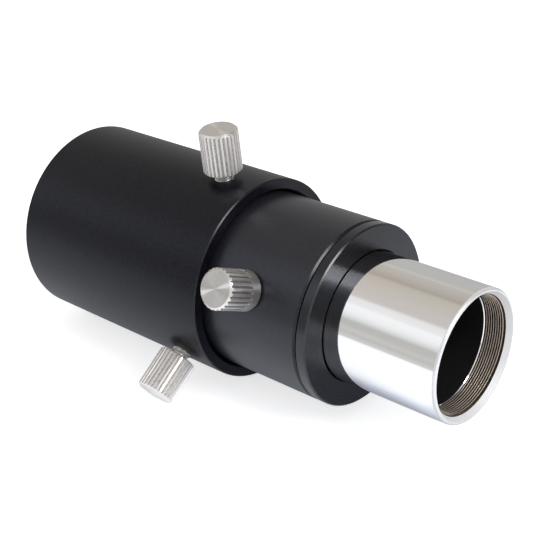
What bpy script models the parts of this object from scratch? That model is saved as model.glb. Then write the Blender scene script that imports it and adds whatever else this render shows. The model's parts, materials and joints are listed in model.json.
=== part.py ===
"""Eyepiece projection adapter: a draw tube that slides in an outer tube, held by thumbscrews.

The outer tube ends in a male camera thread. The draw tube takes an eyepiece, and its end cap
carries the plated nosepiece that goes into a telescope's focuser. The adapter lies on its side,
on the outer tube and on one of its thumbscrews, as it comes to rest on a table.

Lengths are in metres. +X runs along the tubes towards the nosepiece, and +Z is up. The origin
is under the middle of the adapter's box, on the surface that it lies on. Along the tubes,
places are measured from the outer tube's front edge, and across them from the tubes' axis.
"""

from math import acos, atan2, cos, hypot, pi, radians, sin

import bmesh
import bpy
from mathutils import Matrix, Vector

# Clearances
FIT_GAP = 0.0003
THREAD_CLEARANCE = 0.00012
SLIDE_CLEARANCE = 0.00055

# Outer tube
OUTER_TUBE_LENGTH = 0.0632
OUTER_TUBE_WALL = 0.00284
OUTER_TUBE_EDGE = 0.0003
OUTER_TUBE_MOUTH = 0.00035

# Camera thread ring, M42 x 0.75
CAMERA_THREAD_DIAMETER = 0.042
CAMERA_THREAD_LENGTH = 0.0043
CAMERA_THREAD_LEAD = 0.0005
CAMERA_RING_WALL = 0.0021
CAMERA_RING_SEAT = 0.0045

# Draw tube
DRAW_TUBE_DIAMETER = 0.04446
DRAW_TUBE_LENGTH = 0.0797
DRAW_TUBE_WALL = 0.003
DRAW_TUBE_EDGE = 0.00045
DRAW_TUBE_EXPOSED = 0.02775

# Eyepiece socket inside the draw tube, for a 1.25 inch barrel
EYEPIECE_BARREL_DIAMETER = 0.03175
SOCKET_CLEARANCE = 0.00008
SOCKET_LENGTH = 0.0165
SOCKET_LEAD = 0.001

# End cap
CAP_RIM_LENGTH = 0.00285
CAP_EDGE = 0.00035
CAP_RECESS = 0.0008
CAP_SPIGOT_WALL = 0.0041
CAP_SPIGOT_LENGTH = 0.005
CAP_SPIGOT_LEAD = 0.0006

# Nosepiece, 1.25 inch, with an M28.5 x 0.6 filter thread in its mouth
NOSEPIECE_DIAMETER = 0.03175
NOSEPIECE_LENGTH = 0.0306
NOSEPIECE_MOUTH_WALL = 0.001725
NOSEPIECE_SPIGOT_WALL = 0.0013
NOSEPIECE_SPIGOT_LENGTH = 0.0062
NOSEPIECE_LIP = 0.0007
FILTER_THREAD_STEP = 0.00055
FILTER_THREAD_LENGTH = 0.0066
MOUTH_LEAD_WIDTH = 0.00095
MOUTH_LEAD_LENGTH = 0.0013

# Thumbscrews, M5, with fluted heads
SCREW_DIAMETER = 0.0048
SCREW_TIP = 0.0005
HEAD_DIAMETER = 0.0096
HEAD_FACE_CHAMFER = 0.0006
HEAD_BASE_CHAMFER = 0.00025
FLUTE_CUTTER_DIAMETER = 0.00066
FLUTE_DEPTH = 0.00026
LOCK_HEAD_LENGTH = 0.0108
LOCK_HEAD_STANDOFF = 0.0018
LOCK_FLUTES = 28
LOCK_SETBACK = 0.0104
LOCK_NAMES = ("lock_screw_top", "lock_screw_near", "lock_screw_far")
# How far each lock screw is backed out from the shortest standoff
LOCK_BACK_OFFS = (0.0003, 0.0, 0.0)
EYEPIECE_HEAD_LENGTH = 0.0106
EYEPIECE_HEAD_STANDOFF = 0.0003
EYEPIECE_HEAD_BAND = 0.0029
EYEPIECE_FLUTES = 24
EYEPIECE_SCREW_FORWARD = 0.0122

# Fineness of the round shapes
TUBE_SEGMENTS = 80
HOLE_SEGMENTS = 24
FLUTE_SIDES = 8
SEGMENTS_PER_FLUTE = 2
LIP_ARC_STEPS = 4
CREASE_ANGLE = radians(30)
MERGE_DISTANCE = 0.000001

# Radii that follow from the sizes above
DRAW_TUBE_RADIUS = DRAW_TUBE_DIAMETER / 2
OUTER_BORE_RADIUS = DRAW_TUBE_RADIUS + SLIDE_CLEARANCE
OUTER_TUBE_RADIUS = OUTER_BORE_RADIUS + OUTER_TUBE_WALL
DRAW_BORE_RADIUS = DRAW_TUBE_RADIUS - DRAW_TUBE_WALL
SOCKET_RADIUS = EYEPIECE_BARREL_DIAMETER / 2 + SOCKET_CLEARANCE
NOSEPIECE_RADIUS = NOSEPIECE_DIAMETER / 2
FILTER_THREAD_RADIUS = NOSEPIECE_RADIUS - NOSEPIECE_MOUTH_WALL
NOSEPIECE_BORE_RADIUS = FILTER_THREAD_RADIUS - FILTER_THREAD_STEP
NOSEPIECE_SPIGOT_RADIUS = NOSEPIECE_BORE_RADIUS + NOSEPIECE_SPIGOT_WALL
CAP_BORE_RADIUS = NOSEPIECE_SPIGOT_RADIUS + FIT_GAP
CAP_SPIGOT_RADIUS = CAP_BORE_RADIUS + CAP_SPIGOT_WALL
CAP_SEAT_RADIUS = CAP_SPIGOT_RADIUS + FIT_GAP
CAP_RECESS_RADIUS = NOSEPIECE_RADIUS + FIT_GAP
HEAD_RADIUS = HEAD_DIAMETER / 2
SCREW_RADIUS = SCREW_DIAMETER / 2
SCREW_HOLE_RADIUS = SCREW_RADIUS + THREAD_CLEARANCE

# Places along the axis, from the outer tube's front edge
OUTER_TUBE_REAR = -OUTER_TUBE_LENGTH
CAMERA_THREAD_END = OUTER_TUBE_REAR - CAMERA_THREAD_LENGTH
DRAW_TUBE_FRONT = DRAW_TUBE_EXPOSED
DRAW_TUBE_REAR = DRAW_TUBE_FRONT - DRAW_TUBE_LENGTH
CAP_REAR = DRAW_TUBE_FRONT + FIT_GAP
CAP_FRONT = CAP_REAR + CAP_RIM_LENGTH
CAP_SPIGOT_END = CAP_REAR - CAP_SPIGOT_LENGTH
CAP_SEAT_END = CAP_SPIGOT_END - FIT_GAP
SOCKET_REAR = CAP_SEAT_END - SOCKET_LENGTH
NOSEPIECE_REAR = CAP_FRONT - CAP_RECESS + FIT_GAP
NOSEPIECE_FRONT = NOSEPIECE_REAR + NOSEPIECE_LENGTH

# Distances of the thumbscrews' ends from the axis
LOCK_TIP = DRAW_TUBE_RADIUS + FIT_GAP
LOCK_HEAD_BASE = OUTER_TUBE_RADIUS + LOCK_HEAD_STANDOFF
LOCK_HEAD_FACE = LOCK_HEAD_BASE + LOCK_HEAD_LENGTH
EYEPIECE_TIP = SOCKET_RADIUS + FIT_GAP
EYEPIECE_HEAD_BASE = DRAW_TUBE_RADIUS + EYEPIECE_HEAD_STANDOFF
EYEPIECE_HEAD_FACE = EYEPIECE_HEAD_BASE + EYEPIECE_HEAD_LENGTH


def angle_of_resting_screw():
    """Angle from straight down at which a lock screw's head meets the floor beside the tube."""
    rim_distance = LOCK_HEAD_FACE - HEAD_FACE_CHAMFER
    reach = hypot(rim_distance, HEAD_RADIUS)
    return acos(min(OUTER_TUBE_RADIUS / reach, 1)) + atan2(HEAD_RADIUS, rim_distance)


# Directions of the thumbscrews, turned from straight up towards -Y
LOCK_SPACING = 2 * pi / len(LOCK_NAMES)
TOP_SCREW_ANGLE = pi - angle_of_resting_screw() - LOCK_SPACING
EYEPIECE_SCREW_ANGLE = TOP_SCREW_ANGLE + LOCK_SPACING / 2


def cross_reach(angle, head_face, side):
    """How far a thumbscrew's head reaches from the axis, towards -Y (side -1) or +Y (side 1)."""
    along = -side * sin(angle)
    across = abs(cos(angle))
    face_edge = along * head_face + across * (HEAD_RADIUS - HEAD_FACE_CHAMFER)
    rim = along * (head_face - HEAD_FACE_CHAMFER) + across * HEAD_RADIUS
    return max(face_edge, rim)


def widest_reach(side):
    """How far the whole adapter reaches from its axis towards one side."""
    reaches = [OUTER_TUBE_RADIUS, cross_reach(EYEPIECE_SCREW_ANGLE, EYEPIECE_HEAD_FACE, side)]
    for index in range(len(LOCK_NAMES)):
        angle = TOP_SCREW_ANGLE + index * LOCK_SPACING
        reaches.append(cross_reach(angle, LOCK_HEAD_FACE + LOCK_BACK_OFFS[index], side))
    return max(reaches)


def clear_objects():
    for old in list(bpy.data.objects):
        bpy.data.objects.remove(old, do_unlink=True)


def new_collection(name):
    collection = bpy.data.collections.new(name)
    bpy.context.scene.collection.children.link(collection)
    return collection


def finish(name, colour, metallic, roughness):
    """A Principled material of one colour."""
    material = bpy.data.materials.new(name)
    material.use_nodes = True
    shader = material.node_tree.nodes["Principled BSDF"]
    shader.inputs["Base Color"].default_value = (*colour, 1)
    shader.inputs["Metallic"].default_value = metallic
    shader.inputs["Roughness"].default_value = roughness
    material.diffuse_color = (*colour, 1)
    return material


def satin_black(name):
    return finish(name, (0.030, 0.030, 0.033), 0.5, 0.42)


def matt_black(name):
    return finish(name, (0.018, 0.018, 0.020), 0.3, 0.6)


def polished_chrome(name):
    return finish(name, (0.90, 0.91, 0.93), 1.0, 0.05)


def turned_stainless(name):
    return finish(name, (0.72, 0.70, 0.67), 1.0, 0.28)


def chamfer_points(corner, before, after, size):
    """The two points that replace a corner when it is cut off by the given size."""
    back = (before - corner).normalized()
    ahead = (after - corner).normalized()
    return [corner + back * size, corner + ahead * size]


def round_points(corner, before, after, size, steps):
    """An arc in place of a right-angled corner."""
    back = (before - corner).normalized()
    ahead = (after - corner).normalized()
    centre = corner + (back + ahead) * size
    angles = [pi / 2 * step / steps for step in range(steps + 1)]
    return [centre - size * (ahead * cos(angle) + back * sin(angle)) for angle in angles]


def softened(corners):
    """An outline from corners of (radius, place, chamfer), with the chamfers cut."""
    points = [Vector((radius, place)) for radius, place, _ in corners]
    outline = []
    for index, (_, _, size) in enumerate(corners):
        if size == 0:
            outline.append(points[index])
            continue
        before = points[index - 1]
        after = points[(index + 1) % len(points)]
        outline += chamfer_points(points[index], before, after, size)
    return outline


def smooth_mesh(obj, name):
    """The object's evaluated mesh, shaded smooth between its creases."""
    bpy.context.view_layer.update()
    evaluated = obj.evaluated_get(bpy.context.evaluated_depsgraph_get())
    mesh = bpy.data.meshes.new_from_object(evaluated)
    mesh.name = name
    mesh.shade_smooth()
    mesh.set_sharp_from_angle(angle=CREASE_ANGLE)
    return mesh


def turned(name, outline, segments, collection):
    """A solid of revolution about local Z, from an outline that runs down its outer side."""
    mesh = bpy.data.meshes.new(name + "_outline")
    points = [(point[0], 0, point[1]) for point in outline]
    count = len(points)
    closed = all(point[0] > MERGE_DISTANCE for point in points)
    edge_count = count if closed else count - 1
    mesh.from_pydata(points, [(i, (i + 1) % count) for i in range(edge_count)], [])
    obj = bpy.data.objects.new(name, mesh)
    collection.objects.link(obj)
    screw = obj.modifiers.new("Turn", "SCREW")
    screw.axis = "Z"
    screw.angle = 2 * pi
    screw.steps = segments
    screw.render_steps = segments
    screw.use_merge_vertices = True
    screw.merge_threshold = MERGE_DISTANCE
    obj_mesh = smooth_mesh(obj, name)
    obj.modifiers.clear()
    obj.data = obj_mesh
    bpy.data.meshes.remove(mesh)
    return obj


def lay_on_axis(obj, axis):
    """Turns a solid of revolution so that its local Z runs along the tubes."""
    obj.parent = axis
    obj.rotation_euler = (0, pi / 2, 0)


def hide_cutter(cutter):
    cutter.hide_render = True
    cutter.display_type = "WIRE"


def cut(obj, cutter, name):
    modifier = obj.modifiers.new(name, "BOOLEAN")
    modifier.operation = "DIFFERENCE"
    modifier.solver = "EXACT"
    modifier.object = cutter


def cross_drill(obj, name, axis, place, angle, start, end, collection):
    """Drills a screw hole across the tubes, between two distances from their axis."""
    mesh = bpy.data.meshes.new(name)
    shape = bmesh.new()
    middle = Matrix.Translation((0, 0, (start + end) / 2))
    bmesh.ops.create_cone(
        shape,
        cap_ends=True,
        segments=HOLE_SEGMENTS,
        radius1=SCREW_HOLE_RADIUS,
        radius2=SCREW_HOLE_RADIUS,
        depth=end - start,
        matrix=middle,
    )
    shape.to_mesh(mesh)
    shape.free()
    drill = bpy.data.objects.new(name, mesh)
    collection.objects.link(drill)
    drill.parent = axis
    drill.location = (place, 0, 0)
    drill.rotation_euler = (angle, 0, 0)
    hide_cutter(drill)
    cut(obj, drill, name)


def outer_tube(axis, parts, cutters):
    """The camera side's plain tube, tapped through its wall for the lock screws."""
    outline = softened([
        (OUTER_TUBE_RADIUS, 0, OUTER_TUBE_EDGE),
        (OUTER_TUBE_RADIUS, OUTER_TUBE_REAR, OUTER_TUBE_EDGE),
        (OUTER_BORE_RADIUS, OUTER_TUBE_REAR, 0),
        (OUTER_BORE_RADIUS, 0, OUTER_TUBE_MOUTH),
    ])
    tube = turned("outer_tube", outline, TUBE_SEGMENTS, parts)
    lay_on_axis(tube, axis)
    start = OUTER_BORE_RADIUS - OUTER_TUBE_WALL
    end = OUTER_TUBE_RADIUS + OUTER_TUBE_WALL
    for index, screw_name in enumerate(LOCK_NAMES):
        angle = TOP_SCREW_ANGLE + index * LOCK_SPACING
        hole = screw_name + "_hole"
        cross_drill(tube, hole, axis, -LOCK_SETBACK, angle, start, end, cutters)
    tube.data.materials.append(satin_black("satin_black_outer_tube"))
    return tube


def camera_thread_ring(axis, parts):
    """The ring screwed into the outer tube's rear, with the male camera thread behind it."""
    thread = CAMERA_THREAD_DIAMETER / 2
    bore = thread - CAMERA_RING_WALL
    seat = OUTER_BORE_RADIUS - FIT_GAP
    outline = softened([
        (seat, OUTER_TUBE_REAR + CAMERA_RING_SEAT, 0),
        (seat, OUTER_TUBE_REAR, 0),
        (thread, OUTER_TUBE_REAR, 0),
        (thread, CAMERA_THREAD_END, CAMERA_THREAD_LEAD),
        (bore, CAMERA_THREAD_END, 0),
        (bore, OUTER_TUBE_REAR + CAMERA_RING_SEAT, CAMERA_THREAD_LEAD),
    ])
    ring = turned("camera_thread_ring", outline, TUBE_SEGMENTS, parts)
    lay_on_axis(ring, axis)
    ring.data.materials.append(matt_black("matt_black_camera_ring"))
    return ring


def draw_tube(axis, parts, cutters):
    """The sliding tube, with the eyepiece socket and the cap's seat in its front end."""
    outline = softened([
        (DRAW_TUBE_RADIUS, DRAW_TUBE_FRONT, DRAW_TUBE_EDGE),
        (DRAW_TUBE_RADIUS, DRAW_TUBE_REAR, DRAW_TUBE_EDGE),
        (DRAW_BORE_RADIUS, DRAW_TUBE_REAR, DRAW_TUBE_EDGE),
        (DRAW_BORE_RADIUS, SOCKET_REAR, 0),
        (SOCKET_RADIUS, SOCKET_REAR, SOCKET_LEAD),
        (SOCKET_RADIUS, CAP_SEAT_END, 0),
        (CAP_SEAT_RADIUS, CAP_SEAT_END, 0),
        (CAP_SEAT_RADIUS, DRAW_TUBE_FRONT, 0),
    ])
    tube = turned("draw_tube", outline, TUBE_SEGMENTS, parts)
    lay_on_axis(tube, axis)
    start = SOCKET_RADIUS - DRAW_TUBE_WALL
    end = DRAW_TUBE_RADIUS + DRAW_TUBE_WALL
    hole = "eyepiece_screw_hole"
    cross_drill(tube, hole, axis, EYEPIECE_SCREW_FORWARD, EYEPIECE_SCREW_ANGLE, start, end, cutters)
    tube.data.materials.append(satin_black("satin_black_draw_tube"))
    return tube


def end_cap(axis, parts):
    """The cap screwed into the draw tube's front, bored and recessed for the nosepiece."""
    outline = softened([
        (DRAW_TUBE_RADIUS, CAP_FRONT, CAP_EDGE),
        (DRAW_TUBE_RADIUS, CAP_REAR, 0),
        (CAP_SPIGOT_RADIUS, CAP_REAR, 0),
        (CAP_SPIGOT_RADIUS, CAP_SPIGOT_END, CAP_SPIGOT_LEAD),
        (CAP_BORE_RADIUS, CAP_SPIGOT_END, 0),
        (CAP_BORE_RADIUS, CAP_FRONT - CAP_RECESS, 0),
        (CAP_RECESS_RADIUS, CAP_FRONT - CAP_RECESS, 0),
        (CAP_RECESS_RADIUS, CAP_FRONT, 0),
    ])
    cap = turned("end_cap", outline, TUBE_SEGMENTS, parts)
    lay_on_axis(cap, axis)
    cap.data.materials.append(satin_black("satin_black_end_cap"))
    return cap


def nosepiece(axis, parts):
    """The plated barrel, with a rounded lip, a conical lead-in and a counterbore for the filter thread."""
    outer = NOSEPIECE_RADIUS
    spigot = NOSEPIECE_SPIGOT_RADIUS
    thread = FILTER_THREAD_RADIUS
    bore = NOSEPIECE_BORE_RADIUS
    rear_end = NOSEPIECE_REAR - NOSEPIECE_SPIGOT_LENGTH
    thread_end = NOSEPIECE_FRONT - FILTER_THREAD_LENGTH
    lip_corner = Vector((outer, NOSEPIECE_FRONT))
    lip = round_points(lip_corner, Vector((thread, NOSEPIECE_FRONT)), Vector((outer, NOSEPIECE_REAR)),
                       NOSEPIECE_LIP, LIP_ARC_STEPS)
    rest = softened([
        (outer, NOSEPIECE_REAR, 0),
        (spigot, NOSEPIECE_REAR, 0),
        (spigot, rear_end, 0),
        (bore, rear_end, 0),
        (bore, thread_end, 0),
        (thread, thread_end, 0),
        (thread, NOSEPIECE_FRONT - MOUTH_LEAD_LENGTH, 0),
        (thread + MOUTH_LEAD_WIDTH, NOSEPIECE_FRONT, 0),
    ])
    barrel = turned("nosepiece_barrel", lip + rest, TUBE_SEGMENTS, parts)
    lay_on_axis(barrel, axis)
    barrel.data.materials.append(polished_chrome("polished_chrome"))
    return barrel


def flute_cutters(screw, flutes, start, end, collection):
    """A ring of thin rods that cut the flutes between two distances from the tubes' axis."""
    mesh = bpy.data.meshes.new(screw.name + "_flutes")
    shape = bmesh.new()
    rod_radius = FLUTE_CUTTER_DIAMETER / 2
    rod_centre = HEAD_RADIUS - FLUTE_DEPTH + rod_radius
    half_turn = Matrix.Rotation(pi / FLUTE_SIDES, 4, "Z")
    for index in range(flutes):
        turn = Matrix.Rotation(2 * pi * (index + 0.5) / flutes, 4, "Z")
        move = Matrix.Translation((rod_centre, 0, (start + end) / 2))
        bmesh.ops.create_cone(
            shape,
            cap_ends=True,
            segments=FLUTE_SIDES,
            radius1=rod_radius,
            radius2=rod_radius,
            depth=end - start,
            matrix=turn @ move @ half_turn,
        )
    shape.to_mesh(mesh)
    shape.free()
    rods = bpy.data.objects.new(mesh.name, mesh)
    collection.objects.link(rods)
    rods.parent = screw
    hide_cutter(rods)
    cut(screw, rods, "Flutes")


def thumbscrew(name, axis, place, angle, tip, head_base, head_face, flutes, parts):
    """A thumbscrew on a line across the tubes: its local Z is the distance from their axis."""
    outline = softened([
        (0, head_face, 0),
        (HEAD_RADIUS, head_face, HEAD_FACE_CHAMFER),
        (HEAD_RADIUS, head_base, HEAD_BASE_CHAMFER),
        (SCREW_RADIUS, head_base, 0),
        (SCREW_RADIUS, tip, SCREW_TIP),
        (0, tip, 0),
    ])
    screw = turned(name, outline, SEGMENTS_PER_FLUTE * flutes, parts)
    screw.parent = axis
    screw.location = (place, 0, 0)
    screw.rotation_euler = (angle, 0, 0)
    screw.data.materials.append(turned_stainless("stainless_" + name))
    return screw


def lock_screws(axis, parts, cutters):
    """The three screws that hold the draw tube, fluted right through to the back of the head."""
    for index, name in enumerate(LOCK_NAMES):
        angle = TOP_SCREW_ANGLE + index * LOCK_SPACING
        back_off = LOCK_BACK_OFFS[index]
        screw = thumbscrew(name, axis, -LOCK_SETBACK, angle, LOCK_TIP + back_off,
                           LOCK_HEAD_BASE + back_off, LOCK_HEAD_FACE + back_off, LOCK_FLUTES, parts)
        start = LOCK_HEAD_BASE + back_off - HEAD_FACE_CHAMFER
        end = LOCK_HEAD_FACE + back_off + HEAD_FACE_CHAMFER
        flute_cutters(screw, LOCK_FLUTES, start, end, cutters)


def eyepiece_screw(axis, parts, cutters):
    """The screw that holds the eyepiece, with a plain band behind its flutes."""
    screw = thumbscrew("eyepiece_screw", axis, EYEPIECE_SCREW_FORWARD, EYEPIECE_SCREW_ANGLE,
                       EYEPIECE_TIP, EYEPIECE_HEAD_BASE, EYEPIECE_HEAD_FACE, EYEPIECE_FLUTES, parts)
    start = EYEPIECE_HEAD_BASE + EYEPIECE_HEAD_BAND
    end = EYEPIECE_HEAD_FACE + HEAD_FACE_CHAMFER
    flute_cutters(screw, EYEPIECE_FLUTES, start, end, cutters)


def axis_empty(parts):
    """The tubes' axis: an empty at the outer tube's front edge, at the height it rests at."""
    axis = bpy.data.objects.new("tube_axis", None)
    parts.objects.link(axis)
    middle_x = (CAMERA_THREAD_END + NOSEPIECE_FRONT) / 2
    middle_y = (widest_reach(1) - widest_reach(-1)) / 2
    axis.location = (-middle_x, -middle_y, OUTER_TUBE_RADIUS)
    return axis


def main():
    clear_objects()
    parts = new_collection("eyepiece_projection_adapter")
    cutters = new_collection("cutters")
    axis = axis_empty(parts)
    outer_tube(axis, parts, cutters)
    camera_thread_ring(axis, parts)
    draw_tube(axis, parts, cutters)
    end_cap(axis, parts)
    nosepiece(axis, parts)
    lock_screws(axis, parts, cutters)
    eyepiece_screw(axis, parts, cutters)


main()
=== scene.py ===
import json
from math import acos, atan2, ceil, cos, hypot, pi, radians, sin, tan, tau

import bpy
from mathutils import Matrix, Vector


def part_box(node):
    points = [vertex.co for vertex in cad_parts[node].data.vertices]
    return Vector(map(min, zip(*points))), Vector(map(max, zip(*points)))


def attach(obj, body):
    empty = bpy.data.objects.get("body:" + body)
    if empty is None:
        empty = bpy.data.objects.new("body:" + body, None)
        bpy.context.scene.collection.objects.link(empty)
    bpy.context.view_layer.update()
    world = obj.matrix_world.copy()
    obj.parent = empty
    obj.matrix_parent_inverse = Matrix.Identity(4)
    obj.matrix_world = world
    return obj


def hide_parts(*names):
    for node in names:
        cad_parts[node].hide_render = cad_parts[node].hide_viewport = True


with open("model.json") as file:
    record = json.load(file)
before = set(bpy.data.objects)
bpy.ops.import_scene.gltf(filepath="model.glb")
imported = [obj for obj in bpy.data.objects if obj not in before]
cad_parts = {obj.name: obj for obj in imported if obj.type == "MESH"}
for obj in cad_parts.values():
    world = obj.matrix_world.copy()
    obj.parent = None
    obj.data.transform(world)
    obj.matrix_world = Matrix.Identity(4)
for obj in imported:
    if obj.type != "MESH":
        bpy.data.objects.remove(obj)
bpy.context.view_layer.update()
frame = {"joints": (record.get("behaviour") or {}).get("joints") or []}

# Looks of the eyepiece projection adapter. Lengths are in metres.
# Each CAD node is replaced by a finer piece of the same form, turned around the axis
# that the frame gives.

# The outer tube and the camera thread ring
OUTER_RADIUS = 0.02562
OUTER_BORE = 0.02278
OUTER_EDGE = 0.0003
OUTER_MOUTH = 0.00035
RING_SEAT_RADIUS = 0.02248
RING_BORE = 0.0189
CAMERA_THREAD_RADIUS = 0.021
CAMERA_THREAD_LEAD = 0.0005
CAMERA_THREAD_PITCH = 0.00075
CAMERA_THREAD_DEPTH = 0.00042

# The draw tube
DRAW_RADIUS = 0.02223
DRAW_BORE = 0.01923
DRAW_EDGE = 0.00045
SOCKET_RADIUS = 0.015955
SOCKET_LENGTH = 0.0165
SOCKET_LEAD = 0.001
CAP_SEAT_RADIUS = 0.0196
CAP_SEAT_DEPTH = 0.005

# The end cap
CAP_RIM_LENGTH = 0.00285
CAP_EDGE = 0.00035
CAP_RECESS_RADIUS = 0.016175
CAP_RECESS_DEPTH = 0.0008
CAP_BORE = 0.0152
CAP_SPIGOT_RADIUS = 0.0193
CAP_SPIGOT_LEAD = 0.0006

# The nosepiece barrel
BARREL_RADIUS = 0.015875
BARREL_LENGTH = 0.0306
BARREL_LIP = 0.0007
BARREL_SPIGOT_RADIUS = 0.0149
BARREL_BORE = 0.0136
BARREL_STEP_EDGE = 0.00018
FILTER_THREAD_RADIUS = 0.01415
FILTER_THREAD_LENGTH = 0.0066
MOUTH_LEAD_WIDTH = 0.00095
MOUTH_LEAD_LENGTH = 0.0013
FILTER_THREAD_PITCH = 0.0006
FILTER_THREAD_DEPTH = 0.00036

# The thumbscrews, measured out from the tubes' axis
SCREW_RADIUS = 0.0024
SCREW_TIP_LEAD = 0.0005
SCREW_PITCH = 0.0008
SCREW_THREAD_DEPTH = 0.0004
SCREW_HOLE_CLEARANCE = 0.00012
HEAD_RADIUS = 0.0048
HEAD_FACE_CHAMFER = 0.0006
HEAD_BASE_CHAMFER = 0.00025
FLUTE_RADIUS = 0.00033
FLUTE_DEPTH = 0.00026
LOCK_TIP = 0.02253
LOCK_HEAD_BASE = 0.02742
LOCK_HEAD_FACE = 0.03822
LOCK_FLUTES = 28
LOCK_BACK_OFFS = {"lock_screw_top": 0.0003, "lock_screw_near": 0.0, "lock_screw_far": 0.0}
EYEPIECE_TIP = 0.016255
EYEPIECE_HEAD_BASE = 0.02253
EYEPIECE_HEAD_FACE = 0.03313
EYEPIECE_FLUTES = 24
EYEPIECE_HEAD_BAND = 0.0029
FACE_PIP_RADIUS = 0.00022
FACE_PIP_DEPTH = 0.00006

# How finely the pieces are cut
TUBE_COLUMNS = 288
HOLE_SIDES = 64
EDGE_ROUNDING = 0.00006
ROUNDING_STEP = radians(12)
FEWEST_ROUNDING_STEPS = 2
STRAIGHT = radians(1)
SUPPORT_GAP = 0.00008
SUPPORT_PARTS = 3
THREAD_ROWS = 12
THREAD_ROOT_FLAT = 0.12
THREAD_FLANK = 0.70
SLOPE_STEP = 0.02
FLUTE_COLUMNS = 9
LAND_COLUMNS = 3
SAME_PLACE = 1e-7
LEAST_STEP = 4 * SAME_PLACE
CREASE = radians(32)
CYLINDER_FACING = 0.9995
END_FACING = 0.9999

# Ranges of a value. Most of a noise lies in the middle of its range.
WHOLE = (0, 1)
NOISE_SPAN = (0.3, 0.7)
NOISE_CORE = (0.35, 0.65)

# How close the grain of each finish is, in waves to a metre
SATIN_MOTTLE = 1300
SATIN_GRAIN = 4200
SATIN_SPECKS = 5200
EDGE_WEAR = 1400
EDGE_GRAIN = 3000
FACE_RINGS = 9000
BORE_DUST = 2600
BORE_GRAIN = 6000
CHROME_HAZE = 700
THREAD_PATCHES = 130
STEEL_RINGS = 11000
STEEL_TONE = 1500
FLUTE_SHADE_GRAIN = 4500
PAPER_GRAIN = 60

# How many finer layers the noise of the lathe's rings has
RING_DETAIL = 2.0

# How high the relief of each finish stands, and how strongly some of it shows
SATIN_BUMP = 0.000012
FACE_BUMP = 0.000010
BORE_BUMP = 0.00002
CHROME_BUMP = 0.000004
CHROME_BUMP_STRENGTH = 0.35
STEEL_RING_BUMP = 0.000008
STEEL_TONE_BUMP = 0.000004
RING_STRENGTH = 0.5

# The black finishes
SPECK_RANGE = (0.74, 0.80)
SPECK_COLOUR = (0.075, 0.073, 0.075)
SATIN_SHEEN = (0.88, 0.92, 1.0)
EDGE_WEAR_RANGE = (0.35, 0.7)
EDGE_COLOURS = ((0.004, 0.004, 0.006), (0.016, 0.016, 0.019))
EDGE_ROUGHNESS = (0.20, 0.30)
FACE_COLOURS = ((0.0009, 0.0009, 0.0014), (0.0026, 0.0026, 0.0036))
FACE_SHEEN = (0.84, 0.88, 1.0)
FACE_ROUGHNESS = (0.21, 0.29)
FACE_SPECULAR = 0.41
FACE_ANISOTROPY = 0.85
BORE_DUST_RANGE = (0.35, 0.75)
BORE_COLOURS = ((0.0035, 0.0035, 0.0038), (0.0095, 0.0092, 0.0090))
BORE_ROUGHNESS = (0.75, 0.9)
BORE_SPECULAR = 0.25

# The plating, and the thread inside the nosepiece, whose crests are painted pale between two parts of its
# depth, a painted highlight
CHROME_COLOURS = ((0.90, 0.895, 0.89), (0.985, 0.98, 0.97))
CHROME_ROUGHNESS = (0.035, 0.065)
WIPE_STRETCH = 0.05
GROUND_LOSS = (0.02, 0.02, 0.01)
THREAD_HIGHLIGHT_SPAN = (0.50, 0.92)
THREAD_ROOT_COLOURS = ((0.036, 0.029, 0.023), (0.098, 0.078, 0.062))
THREAD_CREST_PAINTED_HIGHLIGHT = (0.74, 0.63, 0.53)
THREAD_ROUGHNESS = (0.36, 0.52)
THREAD_METALLIC = 0.85

# The steel, with painted shade in the bottoms of the flutes
STEEL_COLOURS = ((0.76, 0.735, 0.705), (0.92, 0.895, 0.865))
FLUTE_SHADE_DEEP = 0.00022
FLUTE_SHADE_SHALLOW = 0.00006
FLUTE_SHADE_NOISE_RANGE = (0.40, 0.70)
FLUTE_SHADE_COVER = (0, 0.8)
LOCK_FLUTE_PAINTED_SHADE = (0.27, 0.245, 0.22)
EYEPIECE_FLUTE_PAINTED_SHADE = (0.12, 0.105, 0.11)

# The floor's paper
PAPER_COLOURS = ((0.92, 0.925, 0.94), (0.94, 0.945, 0.96))
PAPER_ROUGHNESS = 0.9
PAPER_SPECULAR = 0.1

# Numbers of the Mix node's sockets for colours, and a quarter of the shader's whole turn
MIX_FIRST = 6
MIX_SECOND = 7
MIX_RESULT = 2
QUARTER_TURN = 0.25

# The photograph's view
CAMERA_PLACE = (0.181438, -0.192439, 0.161401)
CAMERA_TURN = (radians(62.9385), radians(2.3107), radians(41.6446))
CAMERA_LENS = 78.985
CAMERA_SENSOR = 36.0
CAMERA_NEAR = 0.01

# Light and floor
WHITE = (1.0, 1.0, 1.0)
KEY_DIRECTION = Vector((0.76, -0.045, 0.64))
KEY_DISTANCE = 0.6
KEY_SIZE = 0.25
KEY_POWER = 1.75
FLOOR_SIZE = 3.0
FLOOR_DROP = 0.00003
FLOOR_LIFT = 0.68
# A painted glow on the floor that only the metal sees
FLOOR_PAINTED_REFLECTION_GLOW = 0.40

# How bright the floor mirrors in the metal, by its distance past the part's middle, away from
# the camera. A painted shadow of the tubes, darkest just beside and behind them, that only the metal sees
FLOOR_MIRRORED_PAINTED_SHADE = (
    (-0.30, (0.58, 0.58, 0.58)),
    (-0.20, (0.60, 0.60, 0.60)),
    (-0.17, (0.92, 0.94, 0.96)),
    (-0.03, (0.93, 0.96, 1.00)),
    (-0.02, (0.84, 0.88, 0.94)),
    (-0.0125, (0.60, 0.63, 0.70)),
    (-0.007, (0.50, 0.53, 0.60)),
    (0.000, (0.47, 0.49, 0.55)),
    (0.008, (0.46, 0.48, 0.54)),
    (0.05, (0.48, 0.48, 0.50)),
    (0.30, (0.46, 0.45, 0.44)),
)
FLOOR_REACH = 0.30
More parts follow.
